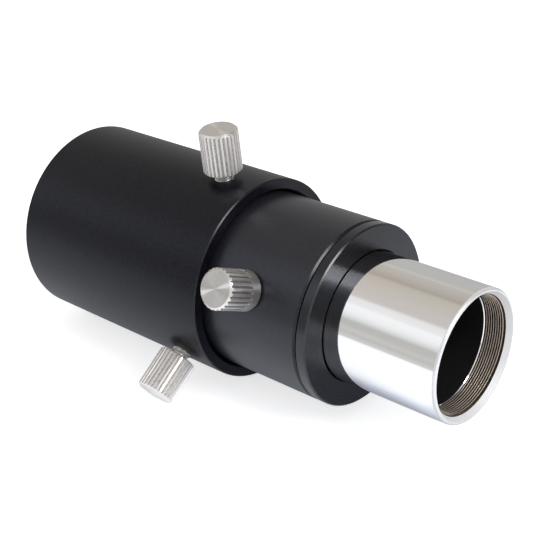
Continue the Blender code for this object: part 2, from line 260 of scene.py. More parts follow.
# The same under the nosepiece, with a deeper painted shadow, and beyond its mouth, where painted bright
# and dark bands stand in for what the metal mirrors
FLOOR_UNDER_PAINTED_SHADE = (
    (-0.30, (0.40, 0.41, 0.43)),
    (-0.06, (0.62, 0.64, 0.66)),
    (-0.02, (0.52, 0.54, 0.57)),
    (0.01, (0.40, 0.42, 0.46)),
    (0.045, (0.95, 0.96, 1.00)),
    (0.11, (0.95, 0.96, 1.00)),
    (0.14, (0.12, 0.12, 0.13)),
    (0.30, (0.10, 0.10, 0.11)),
)
FLOOR_BEYOND_PAINTED_REFLECTION = (
    (-0.30, (0.60, 0.60, 0.61)),
    (-0.10, (0.90, 0.91, 0.93)),
    (0.045, (0.95, 0.96, 1.00)),
    (0.11, (0.95, 0.96, 1.00)),
    (0.14, (0.12, 0.12, 0.13)),
    (0.30, (0.10, 0.10, 0.11)),
)
# Where along the tubes each of these two takes over
FLOOR_UNDER_PAINTED_SHADE_RANGE = (0.050, 0.062)
FLOOR_BEYOND_PAINTED_REFLECTION_RANGE = (0.066, 0.080)

# Bands of the studio that the tubes mirror, by the angle in degrees from straight up towards
# the camera's side
HALF_TURN = 180
STUDIO_BANDS = (
    (-180, (0.55, 0.56, 0.58)),
    (-112, (0.58, 0.58, 0.59)),
    (-100, (0.49, 0.49, 0.50)),
    (-58, (0.49, 0.485, 0.46)),
    (-52, (0.56, 0.55, 0.53)),
    (-46, (0.51, 0.49, 0.45)),
    (-34, (0.49, 0.45, 0.42)),
    (-20, (0.42, 0.38, 0.34)),
    (-16, (0.51, 0.48, 0.42)),
    (-3, (0.56, 0.52, 0.48)),
    (28, (0.60, 0.57, 0.55)),
    (33, (0.82, 0.82, 0.83)),
    (42, (0.84, 0.86, 0.89)),
    (46, (0.96, 0.97, 0.99)),
    (55, (0.92, 0.93, 0.96)),
    (61, (0.84, 0.85, 0.87)),
    (66, (0.70, 0.72, 0.71)),
    (71, (0.51, 0.51, 0.50)),
    (79, (0.52, 0.52, 0.51)),
    (84, (0.59, 0.585, 0.56)),
    (90, (0.55, 0.54, 0.52)),
    (180, (0.60, 0.61, 0.63)),
)

# The same for the directions ahead, on the nosepiece's side
STUDIO_AHEAD = (
    (-180, (0.60, 0.60, 0.62)),
    (-125, (0.60, 0.60, 0.62)),
    (-104, (0.12, 0.12, 0.13)),
    (-58, (0.12, 0.12, 0.13)),
    (-40, (0.18, 0.18, 0.20)),
    (-14, (0.24, 0.24, 0.27)),
    (2, (0.45, 0.48, 0.56)),
    (30, (0.45, 0.48, 0.56)),
    (44, (0.20, 0.20, 0.23)),
    (82, (0.22, 0.22, 0.24)),
    (96, (0.55, 0.56, 0.58)),
    (180, (0.60, 0.60, 0.62)),
)
# One colour straight ahead of the nosepiece
STUDIO_END = (0.88, 0.88, 0.90)
# How far a direction has to point ahead for each of these two to take over
STUDIO_AHEAD_RANGE = (0.10, 0.50)
STUDIO_END_RANGE = (0.64, 0.80)


# Outlines

def side_direction(start, end):
    length = hypot(end[0] - start[0], end[1] - start[1])
    return (end[0] - start[0]) / length, (end[1] - start[1]) / length


def left_of(direction):
    return -direction[1], direction[0]


def rotated(vector, angle):
    return (vector[0] * cos(angle) - vector[1] * sin(angle),
            vector[0] * sin(angle) + vector[1] * cos(angle))


def rounded_corner(before, corner, after, rounding):
    """The points and outward directions along one rounded corner of an outline."""
    way_in = side_direction(before, corner)
    way_out = side_direction(corner, after)
    cross = way_in[0] * way_out[1] - way_in[1] * way_out[0]
    dot = way_in[0] * way_out[0] + way_in[1] * way_out[1]
    turn = atan2(cross, dot)
    facing = left_of(way_in)
    if rounding == 0 or abs(turn) < STRAIGHT:
        return [(corner[:2], facing)]
    setback = rounding * tan(abs(turn) / 2)
    side = 1 if turn < 0 else -1
    start = (corner[0] - way_in[0] * setback, corner[1] - way_in[1] * setback)
    centre = (start[0] - side * facing[0] * rounding, start[1] - side * facing[1] * rounding)
    steps = max(FEWEST_ROUNDING_STEPS, ceil(abs(turn) / ROUNDING_STEP))
    points = []
    for step in range(steps + 1):
        normal = rotated(facing, turn * step / steps)
        place = (centre[0] + side * normal[0] * rounding, centre[1] + side * normal[1] * rounding)
        points.append((place, normal))
    return points


def outline_spans(corners, closed=True):
    """Cuts an outline of (along, radius, rounding, slot) corners into short spans.

    The outside is on the left of the way along the outline. The slot is that of the side after a corner.
    A span is its two ends, each a place and an outward direction, and its material slot.
    """
    count = len(corners)
    arcs = []
    for number, corner in enumerate(corners):
        if not closed and number in (0, count - 1):
            arcs.append([(corner[:2], (0, 0))])
            continue
        before = corners[number - 1]
        after = corners[(number + 1) % count]
        arcs.append(rounded_corner(before, corner, after, corner[2]))
    spans = []
    for number in range(count):
        arc = arcs[number]
        for start, end in zip(arc, arc[1:]):
            spans.append((start, end, corners[number][3]))
        if not closed and number == count - 1:
            break
        start = arc[-1][0]
        end = arcs[(number + 1) % count][0][0]
        facing = left_of(side_direction(start, end))
        spans.append(((start, facing), (end, facing), corners[number][3]))
    return spans


# Meshes

class Skin:
    """A mesh in the making: places, faces, and the shading direction of each face corner."""

    def __init__(self):
        self.places = []
        self.numbers = {}
        self.faces = []
        self.facings = []
        self.slots = []

    def number(self, place):
        key = tuple(round(value / SAME_PLACE) for value in place)
        if key not in self.numbers:
            self.numbers[key] = len(self.places)
            self.places.append(place)
        return self.numbers[key]

    def face(self, places, facings, slot):
        corners = []
        kept = []
        for place, facing in zip(places, facings):
            number = self.number(place)
            if number not in corners:
                corners.append(number)
                kept.append(facing)
        if len(corners) > 2:
            self.faces.append(corners)
            self.facings.append(kept)
            self.slots.append(slot)

    def grid(self, rows, slot):
        """Faces between neighbouring rows of places that close around the axis."""
        for lower, upper in zip(rows, rows[1:]):
            for column in range(len(lower)):
                after = (column + 1) % len(lower)
                places = (lower[column], lower[after], upper[after], upper[column])
                self.face(places, (None,) * 4, slot)

    def build(self, name, materials):
        mesh = bpy.data.meshes.new(name)
        mesh.from_pydata(self.places, [], self.faces)
        for material in materials:
            mesh.materials.append(material)
        mesh.polygons.foreach_set("material_index", self.slots)
        mesh.polygons.foreach_set("use_smooth", [True] * len(self.faces))
        mesh.update()
        mesh.set_sharp_from_angle(angle=CREASE)
        usual = [Vector(corner.vector) for corner in mesh.corner_normals]
        exact = [facing for facings in self.facings for facing in facings]
        mesh.normals_split_custom_set([facing or plain for facing, plain in zip(exact, usual)])
        obj = bpy.data.objects.new(name, mesh)
        bpy.context.scene.collection.objects.link(obj)
        return obj


def around(place, angle):
    return place[1] * cos(angle), place[1] * sin(angle), place[0]


def even_angles(count):
    return [tau * column / count for column in range(count)]


def turn_spans(skin, spans, angles):
    for (start, start_facing), (end, end_facing), slot in spans:
        for column, angle in enumerate(angles):
            after = angles[(column + 1) % len(angles)]
            places = (around(start, angle), around(start, after), around(end, after), around(end, angle))
            facings = (around(start_facing, angle), around(start_facing, after),
                       around(end_facing, after), around(end_facing, angle))
            skin.face(places, facings, slot)


def ridge(phase):
    """How high a thread stands at this part of its pitch: 0 in the root, 1 on the crest."""
    rise = min(max((1 - abs(2 * phase - 1) - THREAD_ROOT_FLAT) / THREAD_FLANK, 0), 1)
    return rise * rise * (3 - 2 * rise)


def ridge_slope(phase):
    return (ridge(phase + SLOPE_STEP) - ridge(phase - SLOPE_STEP)) / (2 * SLOPE_STEP)


def cut_thread(skin, start, end, root, height, pitch, fade, angles, slot):
    """A helical thread between two places along the axis. Its height is negative inside a bore."""
    low, high = min(start, end), max(start, end)
    outward = 1 if start < end else -1
    turns = ceil((high - low) / pitch) + 1
    rows = []
    for row in range(turns * THREAD_ROWS + 1):
        points = []
        for angle in angles:
            part = angle / tau
            along = low + (row / THREAD_ROWS - 1 + part) * pitch
            along = min(max(along, low), high)
            phase = ((along - low) / pitch - part) % 1
            strength = min((along - low) / fade, (high - along) / fade, 1)
            radius = root + height * ridge(phase) * strength
            slope = height * ridge_slope(phase) * strength / pitch
            facing = Vector(around((-slope * outward, outward), angle)).normalized()
            points.append((around((along, radius), angle), tuple(facing)))
        rows.append(points)
    for number in range(len(rows) - 1):
        lower = rows[number]
        upper = rows[number + 1]
        wrap_lower = rows[min(number + THREAD_ROWS, len(rows) - 1)]
        wrap_upper = rows[min(number + 1 + THREAD_ROWS, len(rows) - 1)]
        for column in range(len(angles)):
            last = column == len(angles) - 1
            after_lower = wrap_lower[0] if last else lower[column + 1]
            after_upper = wrap_upper[0] if last else upper[column + 1]
            points = [lower[column], after_lower, after_upper, upper[column]]
            if end < start:
                points.reverse()
            skin.face([place for place, facing in points], [facing for place, facing in points], slot)


def bored_piece(name, skin, materials, screw_axes):
    """The built skin with a screw hole cut along each axis, shaded again as true cylinders."""
    obj = skin.build(name, materials)
    for axis in screw_axes:
        cutter = hole_cutter(axis)
        cutter.matrix_world = TUBE_FRAME.inverted() @ axis
        bpy.context.view_layer.update()
        step = obj.modifiers.new("screw_hole", "BOOLEAN")
        step.operation = "DIFFERENCE"
        step.solver = "EXACT"
        step.object = cutter
        cut = obj.evaluated_get(bpy.context.evaluated_depsgraph_get())
        cut_mesh = bpy.data.meshes.new_from_object(cut)
        obj.modifiers.clear()
        obj.data = cut_mesh
        bpy.data.objects.remove(cutter)
    shade_as_turned(obj.data)
    return obj


def hole_cutter(axis):
    skin = Skin()
    radius = SCREW_RADIUS + SCREW_HOLE_CLEARANCE
    low, high = EYEPIECE_TIP / 2, LOCK_HEAD_FACE
    corners = ((low, 0, 0, 0), (low, radius, 0, 0), (high, radius, 0, 0), (high, 0, 0, 0))
    turn_spans(skin, outline_spans(corners, closed=False), even_angles(HOLE_SIDES))
    return skin.build("screw_hole_cutter", [])


def shade_as_turned(mesh):
    """Gives the corners on cylinders around the tube's axis and on flat ends their exact direction."""
    mesh.polygons.foreach_set("use_smooth", [True] * len(mesh.polygons))
    mesh.set_sharp_from_angle(angle=CREASE)
    facings = [Vector(corner.vector) for corner in mesh.corner_normals]
    for polygon in mesh.polygons:
        centre = polygon.center
        outward = Vector((centre.x, centre.y, 0)).normalized()
        side = polygon.normal.dot(outward)
        flat = abs(polygon.normal.z)
        for loop in polygon.loop_indices:
            place = mesh.vertices[mesh.loops[loop].vertex_index].co
            if abs(side) > CYLINDER_FACING:
                facings[loop] = Vector((place.x, place.y, 0)).normalized() * (1 if side > 0 else -1)
            elif flat > END_FACING:
                facings[loop] = polygon.normal.copy()
    mesh.normals_split_custom_set(facings)


# Finishes

def new_node(owner, kind):
    """A node in the tree of a material or a world."""
    return owner.node_tree.nodes.new(kind)


def join(owner, output, socket):
    owner.node_tree.links.new(output, socket)


def blank_finish(name):
    material = bpy.data.materials.new(name)
    material.use_nodes = True
    return material, material.node_tree.nodes["Principled BSDF"]


def object_place(material):
    return new_node(material, "ShaderNodeTexCoord").outputs["Object"]


def grain(material, scale, detail=3.0, roughness=0.55, place=None):
    """Noise over the piece's own coordinates, with scale counted in waves to a metre."""
    noise = new_node(material, "ShaderNodeTexNoise")
    noise.inputs["Scale"].default_value = scale
    noise.inputs["Detail"].default_value = detail
    noise.inputs["Roughness"].default_value = roughness
    join(material, place or object_place(material), noise.inputs["Vector"])
    return noise.outputs["Fac"]


def axis_distance(material):
    """The distance from the piece's own axis."""
    split = new_node(material, "ShaderNodeSeparateXYZ")
    join(material, object_place(material), split.inputs[0])
    flat = new_node(material, "ShaderNodeCombineXYZ")
    join(material, split.outputs["X"], flat.inputs["X"])
    join(material, split.outputs["Y"], flat.inputs["Y"])
    length = new_node(material, "ShaderNodeVectorMath")
    length.operation = "LENGTH"
    join(material, flat.outputs[0], length.inputs[0])
    return length.outputs["Value"]


def turned_rings(material, scale):
    """Noise that changes only with the distance from the piece's axis, as a lathe's marks do."""
    noise = new_node(material, "ShaderNodeTexNoise")
    noise.noise_dimensions = "1D"
    noise.inputs["Scale"].default_value = scale
    noise.inputs["Detail"].default_value = RING_DETAIL
    join(material, axis_distance(material), noise.inputs["W"])
    return noise.outputs["Fac"]


def spread(owner, value, source, target=WHOLE, soft=False):
    """Carries a value from one range to another, and holds it at the ends."""
    step = new_node(owner, "ShaderNodeMapRange")
    if soft:
        step.interpolation_type = "SMOOTHSTEP"
    step.inputs["From Min"].default_value = source[0]
    step.inputs["From Max"].default_value = source[1]
    step.inputs["To Min"].default_value = target[0]
    step.inputs["To Max"].default_value = target[1]
    join(owner, value, step.inputs["Value"])
    return step.outputs["Result"]


def colour_mix(owner):
    mix = new_node(owner, "ShaderNodeMix")
    mix.data_type = "RGBA"
    return mix


def blend_colours(owner, factor, first, second):
    """A colour between two, each a colour or another node's output."""
    mix = colour_mix(owner)
    join(owner, factor, mix.inputs["Factor"])
    for number, colour in ((MIX_FIRST, first), (MIX_SECOND, second)):
        if isinstance(colour, tuple):
            mix.inputs[number].default_value = (*colour, 1)
        else:
            join(owner, colour, mix.inputs[number])
    return mix.outputs[MIX_RESULT]


def multiply_colours(owner, first, second):
    mix = colour_mix(owner)
    mix.blend_type = "MULTIPLY"
    mix.inputs["Factor"].default_value = 1.0
    join(owner, first, mix.inputs[MIX_FIRST])
    join(owner, second, mix.inputs[MIX_SECOND])
    return mix.outputs[MIX_RESULT]


def colour_ramp(owner, value, stops, reach):
    """A colour that changes with a value from 0 to 1. The stops' places run from -reach to reach."""
    ramp = new_node(owner, "ShaderNodeValToRGB")
    elements = ramp.color_ramp.elements
    elements.remove(elements[1])
    for number, (place, colour) in enumerate(stops):
        part = (place + reach) / (2 * reach)
        element = elements.new(part) if number else elements[0]
        element.position = part
        element.color = (*colour, 1)
    join(owner, value, ramp.inputs["Fac"])
    return ramp.outputs["Color"]


def bumped(material, shader, height, depth, strength=1.0):
    bump = new_node(material, "ShaderNodeBump")
    bump.inputs["Distance"].default_value = depth
    bump.inputs["Strength"].default_value = strength
    join(material, height, bump.inputs["Height"])
    join(material, bump.outputs["Normal"], shader.inputs["Normal"])


def drawn_around_axis(material, shader, anisotropy):
    """Stretches highlights as marks that run around the piece's axis do."""
    tangent = new_node(material, "ShaderNodeTangent")
    tangent.direction_type = "RADIAL"
    tangent.axis = "Z"
    join(material, tangent.outputs["Tangent"], shader.inputs["Tangent"])
    shader.inputs["Anisotropic"].default_value = anisotropy
    shader.inputs["Anisotropic Rotation"].default_value = QUARTER_TURN


def satin_black_finish(name, darkest, lightest, specular, roughness):
    """Bead-blasted, anodised aluminium: fine grain, slow mottling and a few pale specks."""
    material, shader = blank_finish(name)
    mottle = spread(material, grain(material, SATIN_MOTTLE), NOISE_CORE)
    base = blend_colours(material, mottle, darkest, lightest)
    speck = spread(material, grain(material, SATIN_SPECKS, detail=1.0), SPECK_RANGE)
    join(material, blend_colours(material, speck, base, SPECK_COLOUR), shader.inputs["Base Color"])
    fine = grain(material, SATIN_GRAIN, detail=4.0, roughness=0.7)
    join(material, spread(material, fine, NOISE_SPAN, roughness), shader.inputs["Roughness"])
    shader.inputs["Specular IOR Level"].default_value = specular
    shader.inputs["Specular Tint"].default_value = (*SATIN_SHEEN, 1)
    bumped(material, shader, fine, SATIN_BUMP)
    return material


def edge_black_finish(name, specular):
    """The same coat over a cut edge, worn smoother."""
    material, shader = blank_finish(name)
    wear = spread(material, grain(material, EDGE_WEAR), EDGE_WEAR_RANGE)
    join(material, blend_colours(material, wear, *EDGE_COLOURS), shader.inputs["Base Color"])
    fine = grain(material, EDGE_GRAIN)
    join(material, spread(material, fine, NOISE_SPAN, EDGE_ROUGHNESS), shader.inputs["Roughness"])
    shader.inputs["Specular IOR Level"].default_value = specular
    return material


def turned_black_finish():
    """Anodised end face with the lathe's rings, which draw light into a streak."""
    material, shader = blank_finish("turned_black")
    rings = turned_rings(material, FACE_RINGS)
    join(material, blend_colours(material, rings, *FACE_COLOURS), shader.inputs["Base Color"])
    join(material, spread(material, rings, NOISE_SPAN, FACE_ROUGHNESS), shader.inputs["Roughness"])
    shader.inputs["Specular IOR Level"].default_value = FACE_SPECULAR
    shader.inputs["Specular Tint"].default_value = (*FACE_SHEEN, 1)
    drawn_around_axis(material, shader, FACE_ANISOTROPY)
    bumped(material, shader, rings, FACE_BUMP, RING_STRENGTH)
    return material


def matt_black_finish():
    """Flat black of the bores, which keeps stray light down."""
    material, shader = blank_finish("matt_black")
    dust = spread(material, grain(material, BORE_DUST, detail=4.0), BORE_DUST_RANGE)
    join(material, blend_colours(material, dust, *BORE_COLOURS), shader.inputs["Base Color"])
    join(material, spread(material, dust, WHOLE, BORE_ROUGHNESS), shader.inputs["Roughness"])
    shader.inputs["Specular IOR Level"].default_value = BORE_SPECULAR
    bumped(material, shader, grain(material, BORE_GRAIN), BORE_BUMP)
    return material


def chrome_finish():
    """Bright plating with faint wipe marks along it."""
    material, shader = blank_finish("chrome")
    stretched = new_node(material, "ShaderNodeVectorMath")
    stretched.operation = "MULTIPLY"
    stretched.inputs[1].default_value = (1, 1, WIPE_STRETCH)
    join(material, object_place(material), stretched.inputs[0])
    haze = grain(material, CHROME_HAZE, roughness=0.6, place=stretched.outputs["Vector"])
    join(material, blend_colours(material, haze, *CHROME_COLOURS), shader.inputs["Base Color"])
    join(material, spread(material, haze, NOISE_SPAN, CHROME_ROUGHNESS), shader.inputs["Roughness"])
    shader.inputs["Metallic"].default_value = 1.0
    bumped(material, shader, haze, CHROME_BUMP, CHROME_BUMP_STRENGTH)
    return material


def ground_chrome_painted_reflection_finish(name, metallic, roughness, brightness):
    """Plating over a ground edge, a little dulled and unevenly so. Its partly matt pale colour is a
    painted reflection of white surroundings.
    """
    material, shader = blank_finish(name)
    haze = spread(material, grain(material, CHROME_HAZE), NOISE_SPAN)
    bright = (brightness, brightness, brightness)
    dull = tuple(level - loss for level, loss in zip(bright, GROUND_LOSS))
    join(material, blend_colours(material, haze, dull, bright), shader.inputs["Base Color"])
    shader.inputs["Metallic"].default_value = metallic
    shader.inputs["Roughness"].default_value = roughness
    return material


def bronze_thread_finish():
    """Thread, dark in its roots, with its crests painted pale as a painted highlight."""
    material, shader = blank_finish("bronze_thread")
    highlight_radii = [FILTER_THREAD_RADIUS - FILTER_THREAD_DEPTH * part for part in THREAD_HIGHLIGHT_SPAN]
    crest = spread(material, axis_distance(material), highlight_radii)
    patch = spread(material, grain(material, THREAD_PATCHES, detail=2.0), NOISE_CORE)
    root = blend_colours(material, patch, *THREAD_ROOT_COLOURS)
    # Painted highlight: pale crests over the dark roots
    join(material, blend_colours(material, crest, root, THREAD_CREST_PAINTED_HIGHLIGHT), shader.inputs["Base Color"])
    join(material, spread(material, patch, WHOLE, THREAD_ROUGHNESS), shader.inputs["Roughness"])
    shader.inputs["Metallic"].default_value = THREAD_METALLIC
    return material


def stainless_finish(name, metallic, roughness, anisotropy=0, ringed=False, flute_shade=None):
    """Bare turned steel, faintly ringed around its axis. The bottoms of its flutes may be darkened with
    painted shade.
    """
    material, shader = blank_finish(name)
    rings = turned_rings(material, STEEL_RINGS)
    tone = grain(material, STEEL_TONE)
    colour = blend_colours(material, tone, *STEEL_COLOURS)
    # Painted shade, mottled, in the deep part of each flute
    if flute_shade:
        walls = (HEAD_RADIUS - FLUTE_SHADE_DEEP, HEAD_RADIUS - FLUTE_SHADE_SHALLOW)
        rise = spread(material, axis_distance(material), walls)
        mottle = spread(material, grain(material, FLUTE_SHADE_GRAIN, detail=2.0), FLUTE_SHADE_NOISE_RANGE, FLUTE_SHADE_COVER)
        colour = blend_colours(material, rise, blend_colours(material, mottle, flute_shade, colour), colour)
    join(material, colour, shader.inputs["Base Color"])
    join(material, spread(material, rings, NOISE_SPAN, roughness), shader.inputs["Roughness"])
    shader.inputs["Metallic"].default_value = metallic
    if anisotropy:
        drawn_around_axis(material, shader, anisotropy)
    if ringed:
        bumped(material, shader, rings, STEEL_RING_BUMP, RING_STRENGTH)
    else:
        bumped(material, shader, tone, STEEL_TONE_BUMP, RING_STRENGTH)
    return material


def paper_finish():
    """White paper, lifted to pure white for the camera and toned down where the metal mirrors it: to the
    metal it shows a painted shadow of the tubes, painted bands further off and a painted glow.
    """
    material, shader = blank_finish("floor_paper")
    split = new_node(material, "ShaderNodeSeparateXYZ")
    join(material, object_place(material), split.inputs[0])
    across = spread(material, split.outputs["Y"], (-FLOOR_REACH, FLOOR_REACH))
    beside = colour_ramp(material, across, FLOOR_MIRRORED_PAINTED_SHADE, FLOOR_REACH)
    under = colour_ramp(material, across, FLOOR_UNDER_PAINTED_SHADE, FLOOR_REACH)
    beyond = colour_ramp(material, across, FLOOR_BEYOND_PAINTED_REFLECTION, FLOOR_REACH)
    near = spread(material, split.outputs["X"], FLOOR_UNDER_PAINTED_SHADE_RANGE)
    far = spread(material, split.outputs["X"], FLOOR_BEYOND_PAINTED_REFLECTION_RANGE)
    level = blend_colours(material, far, blend_colours(material, near, beside, under), beyond)
    path = new_node(material, "ShaderNodeLightPath")
    to_camera = path.outputs["Is Camera Ray"]
    to_metal = path.outputs["Is Glossy Ray"]
    # Painted shadow and painted bands on the floor, seen only in the metal
    tone = blend_colours(material, to_metal, WHITE, level)
    paper = blend_colours(material, grain(material, PAPER_GRAIN, detail=2.0), *PAPER_COLOURS)
    join(material, multiply_colours(material, paper, tone), shader.inputs["Base Color"])
    join(material, tone, shader.inputs["Emission Color"])
    lift = new_node(material, "ShaderNodeMath")
    lift.operation = "ADD"
    join(material, spread(material, to_camera, WHOLE, (0, FLOOR_LIFT)), lift.inputs[0])
    # The floor's painted glow, seen only in the metal
    join(material, spread(material, to_metal, WHOLE, (0, FLOOR_PAINTED_REFLECTION_GLOW)), lift.inputs[1])
    join(material, lift.outputs["Value"], shader.inputs["Emission Strength"])
    shader.inputs["Roughness"].default_value = PAPER_ROUGHNESS
    shader.inputs["Specular IOR Level"].default_value = PAPER_SPECULAR
    return material


# Pieces on the tubes' axis

def place_piece(obj, matrix, body, node):
    obj.matrix_world = matrix
    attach(obj, body)
    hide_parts(node)


def make_outer_tube(rear, front, screw_axes):
    skin = Skin()
    coat, edge, bore = range(3)
    corners = (
        (rear, OUTER_BORE, 0, coat),
        (rear, OUTER_RADIUS - OUTER_EDGE, EDGE_ROUNDING, edge),
        (rear + OUTER_EDGE, OUTER_RADIUS, EDGE_ROUNDING, coat),
        (front - OUTER_EDGE, OUTER_RADIUS, EDGE_ROUNDING, edge),
        (front, OUTER_RADIUS - OUTER_EDGE, EDGE_ROUNDING, coat),
        (front, OUTER_BORE + OUTER_MOUTH, EDGE_ROUNDING, edge),
        (front - OUTER_MOUTH, OUTER_BORE, EDGE_ROUNDING, bore),
    )
    turn_spans(skin, outline_spans(corners), even_angles(TUBE_COLUMNS))
    obj = bored_piece("outer_tube_shell", skin, (OUTER_BLACK, EDGE_BLACK, MATT_BLACK), screw_axes)
    place_piece(obj, TUBE_FRAME, "outer_body", "outer_tube")


def make_camera_ring(rear, seat_rear, seat_front):
    skin = Skin()
    coat, bore = range(2)
    angles = even_angles(TUBE_COLUMNS)
    before_thread = (
        (seat_rear, CAMERA_THREAD_RADIUS, 0, coat),
        (seat_rear, RING_SEAT_RADIUS, EDGE_ROUNDING, coat),
        (seat_front, RING_SEAT_RADIUS, EDGE_ROUNDING, coat),
        (seat_front, RING_BORE, EDGE_ROUNDING, bore),
        (rear, RING_BORE, EDGE_ROUNDING, coat),
        (rear, CAMERA_THREAD_RADIUS - CAMERA_THREAD_LEAD, 0, coat),
        (rear + CAMERA_THREAD_LEAD, CAMERA_THREAD_RADIUS, 0, coat),
    )
    turn_spans(skin, outline_spans(before_thread, closed=False), angles)
    cut_thread(skin, rear + CAMERA_THREAD_LEAD, seat_rear, CAMERA_THREAD_RADIUS, -CAMERA_THREAD_DEPTH,
               CAMERA_THREAD_PITCH, CAMERA_THREAD_PITCH / 2, angles, coat)
    obj = skin.build("camera_thread_ring_shell", (SATIN_BLACK, MATT_BLACK))
    place_piece(obj, TUBE_FRAME, "outer_body", "camera_thread_ring")


def make_draw_tube(rear, front, screw_axes):
    skin = Skin()
    coat, edge, bore = range(3)
    seat_end = front - CAP_SEAT_DEPTH
    socket_end = seat_end - SOCKET_LENGTH
    corners = (
        (rear, DRAW_BORE, EDGE_ROUNDING, coat),
        (rear, DRAW_RADIUS - DRAW_EDGE, EDGE_ROUNDING, edge),
        (rear + DRAW_EDGE, DRAW_RADIUS, EDGE_ROUNDING, coat),
        (front - DRAW_EDGE, DRAW_RADIUS, EDGE_ROUNDING, edge),
        (front, DRAW_RADIUS - DRAW_EDGE, EDGE_ROUNDING, coat),
        (front, CAP_SEAT_RADIUS, EDGE_ROUNDING, bore),
        (seat_end, CAP_SEAT_RADIUS, 0, bore),
        (seat_end, SOCKET_RADIUS + SOCKET_LEAD, EDGE_ROUNDING, bore),
        (seat_end - SOCKET_LEAD, SOCKET_RADIUS, EDGE_ROUNDING, bore),
        (socket_end, SOCKET_RADIUS, EDGE_ROUNDING, bore),
        (socket_end, DRAW_BORE, 0, bore),
    )
    turn_spans(skin, outline_spans(corners), even_angles(TUBE_COLUMNS))
    obj = bored_piece("draw_tube_shell", skin, (SATIN_BLACK, EDGE_BLACK, MATT_BLACK), screw_axes)
    place_piece(obj, TUBE_FRAME, "draw_body", "draw_tube")


def make_end_cap(spigot_end, front):
    skin = Skin()
    rim_coat, rim_edge, face, inside = range(4)
    rim = front - CAP_RIM_LENGTH
    floor = front - CAP_RECESS_DEPTH
    corners = (
        (spigot_end, CAP_BORE, EDGE_ROUNDING, rim_coat),
        (spigot_end, CAP_SPIGOT_RADIUS - CAP_SPIGOT_LEAD, EDGE_ROUNDING, rim_coat),
        (spigot_end + CAP_SPIGOT_LEAD, CAP_SPIGOT_RADIUS, EDGE_ROUNDING, rim_coat),
        (rim, CAP_SPIGOT_RADIUS, 0, rim_coat),
        (rim, DRAW_RADIUS - CAP_EDGE, EDGE_ROUNDING, rim_edge),
        (rim + CAP_EDGE, DRAW_RADIUS, EDGE_ROUNDING, rim_coat),
        (front - CAP_EDGE, DRAW_RADIUS, EDGE_ROUNDING, rim_edge),
        (front, DRAW_RADIUS - CAP_EDGE, EDGE_ROUNDING, face),
        (front, CAP_RECESS_RADIUS, EDGE_ROUNDING, inside),
        (floor, CAP_RECESS_RADIUS, 0, inside),
        (floor, CAP_BORE, EDGE_ROUNDING, inside),
    )
    turn_spans(skin, outline_spans(corners), even_angles(TUBE_COLUMNS))
    obj = skin.build("end_cap_face", (RIM_BLACK, RIM_EDGE_BLACK, TURNED_BLACK, MATT_BLACK))
    place_piece(obj, TUBE_FRAME, "nosepiece_body", "end_cap")


def make_nosepiece(spigot_end, front):
    skin = Skin()
    plating, thread, bore, lead, lip = range(5)
    angles = even_angles(TUBE_COLUMNS)
    rear = front - BARREL_LENGTH
    thread_front = front - MOUTH_LEAD_LENGTH
    thread_rear = front - FILTER_THREAD_LENGTH
    outside = (
        (thread_rear, FILTER_THREAD_RADIUS, 0, plating),
        (thread_rear, BARREL_BORE + BARREL_STEP_EDGE, EDGE_ROUNDING, plating),
        (thread_rear - BARREL_STEP_EDGE, BARREL_BORE, EDGE_ROUNDING, bore),
        (spigot_end, BARREL_BORE, EDGE_ROUNDING, plating),
        (spigot_end, BARREL_SPIGOT_RADIUS, EDGE_ROUNDING, plating),
        (rear, BARREL_SPIGOT_RADIUS, 0, plating),
        (rear, BARREL_RADIUS, EDGE_ROUNDING, plating),
        (front, BARREL_RADIUS, BARREL_LIP, lip),
        (front, FILTER_THREAD_RADIUS + MOUTH_LEAD_WIDTH, EDGE_ROUNDING, lead),
        (thread_front, FILTER_THREAD_RADIUS, 0, plating),
    )
    turn_spans(skin, outline_spans(outside, closed=False), angles)
    cut_thread(skin, thread_front, thread_rear, FILTER_THREAD_RADIUS, -FILTER_THREAD_DEPTH,
               FILTER_THREAD_PITCH, FILTER_THREAD_PITCH / 2, angles, thread)
    obj = skin.build("nosepiece_tube", (CHROME, BRONZE_THREAD, MATT_BLACK, LEAD_CHROME, LIP_CHROME))
    place_piece(obj, TUBE_FRAME, "nosepiece_body", "nosepiece_barrel")


# Thumbscrews

def screw_frame(node):
    """A frame on the tubes' axis whose Z runs out along the screw that this node is."""
    low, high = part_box(node)
    screw = Vector(joint_axes[node])
    middle = (low + high) / 2
    return (Matrix.Translation((middle.x, AXIS_PLACE.y, AXIS_PLACE.z))
            @ Matrix.Rotation(atan2(-screw.y, screw.z), 4, "X"))


def flute_columns(flutes):
    """The angles of a fluted head's columns, each with the radius that its flutes leave there."""
    cutter_place = HEAD_RADIUS - FLUTE_DEPTH + FLUTE_RADIUS
    reach = acos((cutter_place ** 2 + FLUTE_RADIUS ** 2 - HEAD_RADIUS ** 2)
                 / (2 * cutter_place * FLUTE_RADIUS))
    half_flute = atan2(FLUTE_RADIUS * sin(reach), cutter_place - FLUTE_RADIUS * cos(reach))
    pitch = tau / flutes
    columns = []
    for flute in range(flutes):
        middle = pitch * (flute + 0.5)
        for step in range(FLUTE_COLUMNS):
            turn = reach * (2 * step / (FLUTE_COLUMNS - 1) - 1)
            across = FLUTE_RADIUS * sin(turn)
            deep = cutter_place - FLUTE_RADIUS * cos(turn)
            columns.append((middle + atan2(across, deep), hypot(across, deep)))
        land = pitch - 2 * half_flute
        for step in range(1, LAND_COLUMNS + 1):
            columns.append((middle + half_flute + land * step / (LAND_COLUMNS + 1), HEAD_RADIUS))
    return columns


